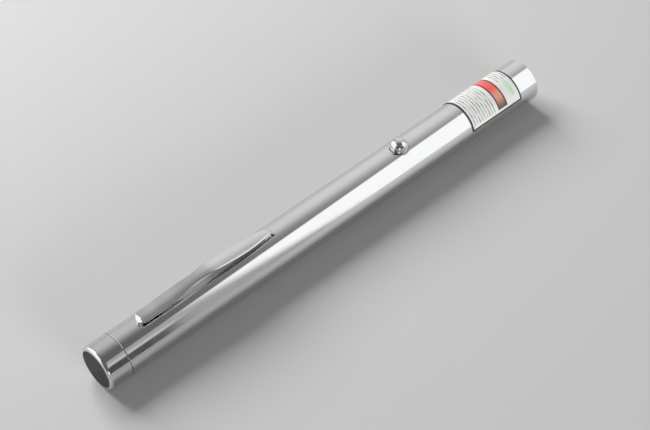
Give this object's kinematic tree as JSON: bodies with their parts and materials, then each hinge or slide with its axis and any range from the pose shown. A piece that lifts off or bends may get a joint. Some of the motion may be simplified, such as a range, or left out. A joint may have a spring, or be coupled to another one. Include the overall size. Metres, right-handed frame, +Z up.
{
  "type": "laser pointer",
  "caption": "Slim pen-shaped laser pointer: plated tube with a sprung pocket clip, a domed push button, a wrap-round sticker and a screw-off tail cap over two slim cells.",
  "frame": {"origin": "centre of the flat tail face, on the tube's axis", "axes": "+X along the pen from the tail to the head, +Z up through the clip and the button"},
  "size_m": [0.155, 0.013, 0.0164],
  "materials": {
    "chrome_plate": "polished",
    "satin_steel": "satin",
    "spring_steel": "bright drawn",
    "brass": "turned",
    "cell_jacket": "shrunk film",
    "nickel": "bright",
    "white_plastic": "moulded",
    "black_plastic": "moulded",
    "board": "solder resist",
    "glass": "polished",
    "crystal": "polished",
    "sticker": "glossy film"
  },
  "bodies": {
    "pen": {"barrel": "chrome_plate", "label": "sticker", "cell_1_can": "cell_jacket", "cell_1_nub": "nickel", "cell_1_insulator": "white_plastic", "cell_2_can": "cell_jacket", "cell_2_nub": "nickel", "cell_2_insulator": "white_plastic", "contact_spring": "spring_steel", "contact_plate": "brass", "driver_board": "board", "board_cradle": "white_plastic", "switch_body": "black_plastic", "driver_chip": "black_plastic", "trim_pot": "satin_steel", "capacitor": "brass", "resistor_1": "black_plastic", "resistor_2": "black_plastic", "resistor_3": "black_plastic", "module_body": "brass", "diode_retainer": "brass", "pump_diode": "satin_steel", "crystal_holder": "brass", "laser_crystal": "crystal", "doubling_crystal": "glass", "expander_lens": "glass", "lens_spring": "spring_steel", "lens_cell": "brass", "collimating_lens": "glass", "nose_ring": "satin_steel", "aperture_window": "glass"},
    "button": {"button_cap": "chrome_plate", "switch_stem": "white_plastic"},
    "clip": {"pocket_clip": "chrome_plate"},
    "cap_travel": {"tail_spring": "spring_steel"},
    "cap": {"tail_cap": "chrome_plate"}
  },
  "joints": [
    {"name": "button_press", "type": "slide", "parent": "pen", "child": "button", "axis": [0, 0, -1], "range_m": [0, 0.0005], "stiffness_N_per_m": 2400},
    {"name": "clip_flex", "type": "hinge", "parent": "pen", "child": "clip", "pos_m": [0.0589, 0, 0.0063], "axis": [0, 1, 0], "range_deg": [0, 4], "stiffness_Nm_per_rad": 2},
    {"name": "cap_feed", "type": "slide", "parent": "pen", "child": "cap_travel", "axis": [-1, 0, 0], "range_m": [0, 0.00375]},
    {"name": "cap_turn", "type": "hinge", "parent": "cap_travel", "child": "cap", "pos_m": [0, 0, 0], "axis": [-1, 0, 0], "range_deg": [0, 1800]}
  ],
  "couplings": [
    {"joint": "cap_feed", "follows": "cap_turn", "m_per_rad": 0.00011937}
  ]
}
